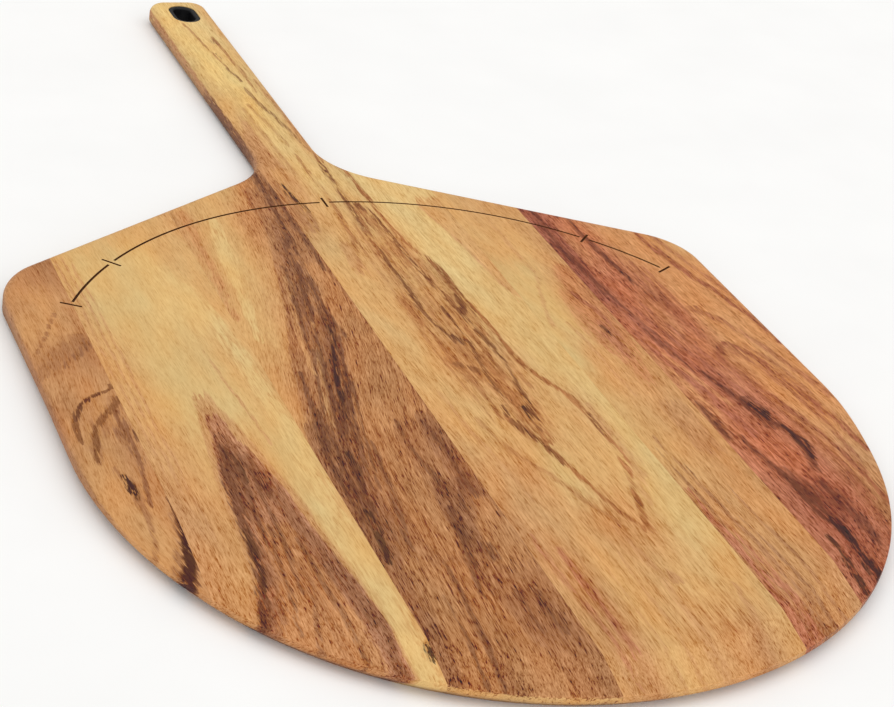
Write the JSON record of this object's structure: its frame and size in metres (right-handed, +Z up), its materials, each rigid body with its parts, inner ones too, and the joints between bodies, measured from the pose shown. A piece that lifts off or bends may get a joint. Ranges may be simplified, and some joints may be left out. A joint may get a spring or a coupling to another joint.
{
  "type": "wooden pizza peel",
  "caption": "Edge-glued wooden pizza peel with a rounded bevelled front, sloping shoulders, a short handle with a lined hanging hole and an engraved portion guide.",
  "frame": {"origin": "on the flat underside, straight below the centre of the engraved portion guide's circle, on the peel's centre line", "axes": "+Y along the grain towards the handle's end, +Z up out of the serving face, +X across the blade"},
  "size_m": [0.363, 0.6667, 0.0127],
  "materials": {
    "left_edge_wood": "oiled satin",
    "left_outer_wood": "oiled satin",
    "left_inner_wood": "oiled satin",
    "handle_wood": "oiled satin",
    "right_inner_wood": "oiled satin",
    "right_edge_wood": "oiled satin",
    "liner_plastic": "satin moulded"
  },
  "bodies": {
    "root": {"left_edge_stave": "left_edge_wood", "left_outer_stave": "left_outer_wood", "left_inner_stave": "left_inner_wood", "handle_stave": "handle_wood", "right_inner_stave": "right_inner_wood", "right_edge_stave": "right_edge_wood", "hanging_hole_liner": "liner_plastic"}
  },
  "joints": []
}
